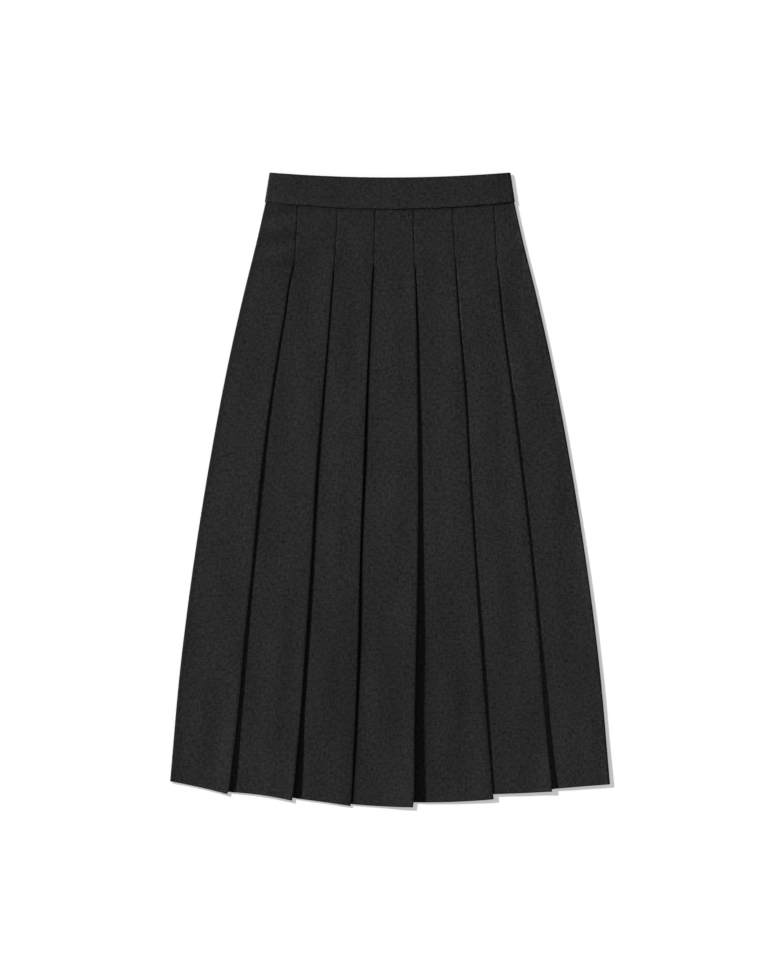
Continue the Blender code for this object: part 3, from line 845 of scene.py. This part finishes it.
def front_waistband():
    lower, thick = rows_with_ends(BAND_ROWS, BAND_HEIGHT, BAND / 2, BAND_CLOSE_ROWS)
    lower = lower[:, None]
    half = mix(BAND_HALF_TOP, BAND_HALF_BOTTOM, lower)

    # Columns from the left side, round it and up to the middle's level
    inset, rise = [], []
    for angle in np.linspace(0, 90, 8):
        a = radians(angle)
        inset.append(BAND / 2 + BAND_ROUND * (1 - cos(a)))
        rise.append(mix(SIDE_SEAM + BAND_SEAM_LEVEL, BAND_SIDE_LEVEL, sin(a)))
    for share in np.linspace(0, 1, 9)[1:]:
        inset.append(mix(BAND / 2 + BAND_ROUND, BAND_SIDE_RUN, share))
        rise.append(mix(BAND_SIDE_LEVEL, BAND_LEVEL, smooth(share)))
    left = [-(half - i) for i in inset]
    shares = np.linspace(0, 1, BAND_COLUMNS + 2)[1:-1]
    centre = [mix(left[-1], -left[-1], share) for share in shares]
    across = np.hstack(left + centre + [-x for x in left[::-1]])
    height = np.array(rise + [BAND_LEVEL] * len(centre) + rise[::-1]) + 0 * half

    down = band_shape(across, lower, 0.0)
    run, short_run = SEAM_WOBBLE_RUNS
    wobble = np.sin(across / short_run) * np.sin(across / run + 1)
    down = down + SEAM_WOBBLE * lower * wobble
    ripple = 0
    for r in RIPPLES:
        ripple = ripple + r.size * np.sin(across / r.run + r.slant * lower + r.start)
    ridge = BAND_RIDGE * np.exp((down - waist_seam(across)) / BAND_RIDGE_REACH)
    flat = smooth((half - abs(across)) / BAND_FLAT_SIDE)
    from_dent = np.hypot(across - BAND_DENT.across, down - BAND_DENT.down) / BAND_DENT.radius
    height = height + (ripple + ridge) * flat - BAND_DENT.depth * np.exp(-(from_dent**2))
    outer, inner = walls(across, height, BAND * thick[:, None] * np.ones_like(across))

    # Painted shade at the band's top edge, foot and sides, and a painted highlight above its seam
    from_top, from_foot = lower * BAND_HEIGHT, (1 - lower) * BAND_HEIGHT
    tone = mix(BAND_TOP_PAINTED_SHADE, 1.0, smooth(from_top - BAND_TOP_SHADE)) * np.ones_like(across)
    from_glint = (from_foot - BAND_GLINT_AT) / BAND_GLINT_WIDE
    tone = tone * (1 + BAND_GLINT * np.exp(-(from_glint**2)))
    foot = smooth((from_foot - BAND_FOOT_SHADE) / BAND_FOOT_FADE)
    tone = tone * mix(BAND_FOOT_PAINTED_SHADE, 1.0, foot)
    ends = smooth((half + across) / BAND_END_LEFT) * smooth((half - across) / BAND_END_RIGHT)
    tone = tone * mix(BAND_END_PAINTED_SHADE, 1.0, ends)

    made = shell(
        "waistband_front_cloth",
        (outer[0] + BAND_MIDDLE, down, outer[1]),
        (inner[0] + BAND_MIDDLE, down, inner[1]),
        cloth_run(across, height),
        np.zeros(across.shape[1], int),
        tone,
    )
    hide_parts("waistband_front")
    return made


def back_waistbands():
    """The back band's two halves, each worked out from the zip outwards."""
    lower, thick = rows_with_ends(BAND_ROWS, BAND_HEIGHT, BAND / 2, BACK_BAND_CLOSE_ROWS)
    lower = lower[:, None]
    half = mix(BAND_HALF_TOP, BAND_HALF_BOTTOM, lower)
    near = np.array(ZIP_SIDE) + 0 * half
    rim = half - BAND / 2
    shares = np.linspace(0, 1, BACK_BAND_COLUMNS + 1)[1:]
    far = [mix(near[:, -1:], rim - BACK_BAND_ROUND, share) for share in shares]
    turn = [rim - BACK_BAND_ROUND * (1 - cos(radians(a))) for a in BACK_BAND_TURN]
    across = np.hstack([near] + far + turn)
    down = band_shape(across, lower, BACK_TOP_DROP)
    sideways = smooth((BAND_LIFT_END - across) / (BAND_LIFT_END - BAND_LIFT_FLAT))
    downwards = smooth((SEAM_CENTRE - BAND_LIFT_CLEAR - down) / BAND_LIFT_DOWN)
    height = BAND / 2 + BAND_LIFT * sideways * downwards
    for column, angle in enumerate(BACK_BAND_TURN, across.shape[1] - len(BACK_BAND_TURN)):
        height[:, column] = mix(SIDE_SEAM, height[:, column], sin(radians(angle)))
    outer, inner = walls(across, height, BAND * thick[:, None] * np.ones_like(across))
    cloth = cloth_run(across, height)
    # Painted shade where the band's edges round off
    tone = mix(BACK_BAND_PAINTED_SHADE, 1.0, thick)[:, None] * np.ones_like(across)

    made = []
    for name, side in (("left", 1), ("right", -1)):
        # The faces change places in the mirrored half, so that they still point outwards
        grids = [(side * outer[0], down, outer[1]), (side * inner[0], down, inner[1])]
        grids = grids[::side]
        piece = shell(
            f"waistband_back_cloth_{name}",
            grids[0],
            grids[1],
            cloth,
            np.zeros(across.shape[1], int),
            tone,
        )
        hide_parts(f"waistband_back_{name}")
        made.append(piece)
    return made


# Materials


def new_material(name):
    material = bpy.data.materials.new(name)
    material.use_nodes = True
    tree = material.node_tree
    tree.nodes.clear()
    output = tree.nodes.new("ShaderNodeOutputMaterial")
    surface = tree.nodes.new("ShaderNodeBsdfPrincipled")
    tree.links.new(surface.outputs[0], output.inputs["Surface"])
    return material, tree, surface


def node(tree, kind, inputs=None, **settings):
    made = tree.nodes.new(kind)
    for key, value in settings.items():
        setattr(made, key, value)
    for key, value in (inputs or {}).items():
        if isinstance(value, bpy.types.NodeSocket):
            tree.links.new(value, made.inputs[key])
        else:
            made.inputs[key].default_value = value
    return made


def maths(tree, operation, a, b=None):
    inputs = {0: a} if b is None else {0: a, 1: b}
    return node(tree, "ShaderNodeMath", inputs, operation=operation).outputs[0]


def noise(tree, at, stretch, detail=2.0, roughness=0.5):
    """Noise over the cloth map, with so many features for each millimetre across and down."""
    placed = node(tree, "ShaderNodeMapping", {"Vector": at, "Scale": (*stretch, 1)})
    found = node(
        tree,
        "ShaderNodeTexNoise",
        {"Vector": placed.outputs[0], "Scale": 1.0, "Detail": detail, "Roughness": roughness},
        noise_dimensions="2D",
    )
    return found.outputs["Fac"]


def swing(tree, field, share):
    """How far a field is from its middle value, times share."""
    return maths(tree, "MULTIPLY", maths(tree, "SUBTRACT", field, 0.5), share)


def scaled(tree, a, times, plus):
    return maths(tree, "ADD", maths(tree, "MULTIPLY", a, times), plus)


def suiting(name, turned=False):
    """Charcoal melange: fine twill of light and dark fibres, matt with a faint nap."""
    material, tree, surface = new_material(name)
    uv = node(tree, "ShaderNodeUVMap", uv_map="cloth").outputs[0]
    at = node(
        tree, "ShaderNodeVectorMath", {0: uv, 1: (1 / MM,) * 3}, operation="MULTIPLY"
    ).outputs[0]
    split = node(tree, "ShaderNodeSeparateXYZ", {0: at})
    across, down = split.outputs[0], split.outputs[1]
    if turned:
        across, down = down, across

    # Tone of the mixed fibres
    grain = noise(tree, at, (0.30, 0.27), detail=1.3)
    warp = noise(tree, at, (0.54, 0.13), detail=1.0)
    weft = noise(tree, at, (0.13, 0.54), detail=1.0)
    slow = noise(tree, at, (0.03, 0.02))
    total = swing(tree, grain, 1.72)
    for share, field in ((0.95, warp), (0.95, weft), (0.35, slow)):
        total = maths(tree, "ADD", total, swing(tree, field, share))
    total = maths(tree, "MAXIMUM", maths(tree, "ADD", total, 1.0), 0.3)
    # scaled by the tone attribute's painted light and shade
    tone = node(tree, "ShaderNodeAttribute", attribute_name="tone").outputs["Fac"]
    level = maths(tree, "MULTIPLY", total, tone)

    # Light fibres that catch the eye
    fibre = noise(tree, at, (2.6, 0.6), detail=1.0)
    fleck = maths(tree, "MAXIMUM", maths(tree, "SUBTRACT", fibre, 0.66), 0.0)
    level = maths(tree, "ADD", level, maths(tree, "MULTIPLY", fleck, 4.0))

    # Colour, which strays a little from place to place
    placed = node(tree, "ShaderNodeMapping", {"Vector": at, "Scale": (0.06, 0.05, 1)}).outputs[0]
    mottle = node(tree, "ShaderNodeTexNoise", {"Vector": placed, "Scale": 1.0, "Detail": 3.0})
    tint = node(
        tree,
        "ShaderNodeVectorMath",
        {0: mottle.outputs["Color"], 1: MOTTLE, 2: [1 - m / 2 for m in MOTTLE]},
        operation="MULTIPLY_ADD",
    ).outputs[0]
    base = node(tree, "ShaderNodeVectorMath", {0: tint, 1: ALBEDO}, operation="MULTIPLY").outputs[0]
    colour = node(
        tree, "ShaderNodeVectorMath", {0: base, "Scale": level}, operation="SCALE"
    ).outputs[0]
    tree.links.new(colour, surface.inputs["Base Color"])

    # Twill ribs, in radians to a millimetre, and the threads that cross them
    rib = maths(tree, "SINE", scaled(tree, across, 9.5, maths(tree, "MULTIPLY", down, 7.0)))
    thread = maths(tree, "SINE", maths(tree, "MULTIPLY", down, 15.0))
    weave = scaled(tree, rib, 0.6, maths(tree, "MULTIPLY", thread, 0.3))
    nap = noise(tree, at, (0.9, 0.8), detail=3.0, roughness=0.6)
    height = scaled(tree, weave, 0.12, nap)
    bump = node(tree, "ShaderNodeBump", {"Strength": 0.28, "Distance": 0.00012, "Height": height})
    tree.links.new(bump.outputs[0], surface.inputs["Normal"])
    tree.links.new(scaled(tree, grain, 0.12, 0.84), surface.inputs["Roughness"])
    surface.inputs["Specular IOR Level"].default_value = 0.12
    surface.inputs["Sheen Weight"].default_value = 0.04
    surface.inputs["Sheen Roughness"].default_value = 0.5
    return material


def plain(name, colour, roughness, metallic=0.0):
    """One colour with a fine grain, for the zip."""
    material, tree, surface = new_material(name)
    at = node(tree, "ShaderNodeTexCoord").outputs["Object"]
    fine = {"Vector": at, "Scale": 1800.0, "Detail": 2.0}
    grain = node(tree, "ShaderNodeTexNoise", fine).outputs["Fac"]
    level = scaled(tree, grain, 0.5, 0.75)
    shade = node(tree, "ShaderNodeVectorMath", {0: colour, "Scale": level}, operation="SCALE")
    tree.links.new(shade.outputs[0], surface.inputs["Base Color"])
    tree.links.new(scaled(tree, grain, 0.2, roughness - 0.1), surface.inputs["Roughness"])
    bump = node(tree, "ShaderNodeBump", {"Strength": 0.3, "Distance": 0.00005, "Height": grain})
    tree.links.new(bump.outputs[0], surface.inputs["Normal"])
    surface.inputs["Metallic"].default_value = metallic
    return material


def dressed(piece, material):
    piece.data.materials.clear()
    piece.data.materials.append(material)
    return piece


# Stage: floor, light and camera

VIEW_HEIGHT = 1266.33  # millimetres of the cloth's plane that the frame takes in
CAMERA_PLACE = (0.0003, 0.0030, 4.0)
FLOOR_DROP = 0.0002
FLOOR_COLOUR = 0.63
FLOOR_GLOW = 0.39
FILL = 0.22  # strength of the sky overhead
FILL_LOW = 0.95  # and near the horizon, up to the first of these heights
FILL_HEIGHTS = (0.2, 0.35)
KEY = 0.76
CLOTH_KEY = Vector((-3.0, 1.0, 1.0))  # towards the light
CLOTH_KEY_ANGLE = 5.0
FLOOR_KEY = Vector((-0.96, 0.63, 1.0))
FLOOR_KEY_LEFT = Vector((-0.52, 0.55, 1.0))
FLOOR_KEY_ANGLE = 6.0
FLOOR_SIZE = 12.0
FLOOR_JOIN = 0.044  # the two sheets of paper meet here, under the skirt


def floor(name, left, right):
    """A sheet of plain paper between two places across."""
    mesh = bpy.data.meshes.new(name)
    near, far = -FLOOR_SIZE, FLOOR_SIZE
    corners = [(left, near, 0), (right, near, 0), (right, far, 0), (left, far, 0)]
    mesh.from_pydata(corners, [], [(0, 1, 2, 3)])
    made = bpy.data.objects.new(name, mesh)
    bpy.context.scene.collection.objects.link(made)
    made.location.z = -FLOOR_DROP
    material, _, surface = new_material("floor_paper")
    surface.inputs["Base Color"].default_value = (FLOOR_COLOUR,) * 3 + (1,)
    surface.inputs["Roughness"].default_value = 0.9
    surface.inputs["Specular IOR Level"].default_value = 0.0
    surface.inputs["Emission Color"].default_value = (1, 1, 1, 1)
    surface.inputs["Emission Strength"].default_value = FLOOR_GLOW
    mesh.materials.append(material)
    return made


def key_light(name, towards, angle, receivers):
    """A lamp far away that lights only the given pieces, and adds KEY to level white."""
    lamp = bpy.data.lights.new(name, "SUN")
    lamp.angle = radians(angle)
    lamp.energy = KEY * pi / towards.normalized().z
    made = bpy.data.objects.new(name, lamp)
    bpy.context.scene.collection.objects.link(made)
    made.rotation_mode = "QUATERNION"
    made.rotation_quaternion = towards.to_track_quat("Z", "Y")
    lit = bpy.data.collections.new(name + "_lights")
    for piece in receivers:
        lit.objects.link(piece)
    made.light_linking.receiver_collection = lit
    return made


def fill_light():
    """Light from all round, stronger near the horizon than overhead."""
    world = bpy.data.worlds.new("studio")
    world.use_nodes = True
    tree = world.node_tree
    at = node(tree, "ShaderNodeTexCoord").outputs["Generated"]
    up = node(tree, "ShaderNodeSeparateXYZ", {0: at}).outputs[2]
    low, high = FILL_HEIGHTS
    strength = node(tree, "ShaderNodeMapRange", {0: up, 1: low, 2: high, 3: FILL_LOW, 4: FILL})
    background = tree.nodes["Background"]
    tree.links.new(strength.outputs[0], background.inputs["Strength"])
    background.inputs["Color"].default_value = (1, 1, 1, 1)
    bpy.context.scene.world = world


def camera():
    data = bpy.data.cameras.new("camera")
    data.sensor_width = 36.0
    plane = (FRONT_LEVEL + CLOTH / 2) * MM
    data.lens = data.sensor_width * (CAMERA_PLACE[2] - plane) / (VIEW_HEIGHT * MM)
    data.clip_end = 100.0
    made = bpy.data.objects.new("camera", data)
    made.location = CAMERA_PLACE
    bpy.context.scene.collection.objects.link(made)
    bpy.context.scene.camera = made


camera()
cloth_material = suiting("charcoal_suiting")
band_material = suiting("charcoal_suiting_band", turned=True)
pieces = [dressed(piece, cloth_material) for piece in [front_panel()] + back_panels()]
pieces += [dressed(piece, band_material) for piece in [front_waistband()] + back_waistbands()]
for piece in pieces:
    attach(piece, "skirt")
tape_material = plain("zip_tape", (0.012, 0.012, 0.013), 0.8)
metal_material = plain("black_lacquer", (0.03, 0.03, 0.032), 0.35, 0.8)
hardware = [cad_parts[name] for name in ("zip_tape", "zip_slider", "zip_pull")]
dressed(hardware[0], tape_material)
dressed(hardware[1], metal_material)
dressed(hardware[2], metal_material)
paper = floor("floor", FLOOR_JOIN, FLOOR_SIZE)
paper_left = floor("floor_left", -FLOOR_SIZE, FLOOR_JOIN)
key_light("cloth_key", CLOTH_KEY, CLOTH_KEY_ANGLE, pieces + hardware)
key_light("floor_key", FLOOR_KEY, FLOOR_KEY_ANGLE, [paper])
key_light("floor_key_left", FLOOR_KEY_LEFT, FLOOR_KEY_ANGLE, [paper_left])
fill_light()
bpy.context.scene.view_settings.view_transform = "Standard"
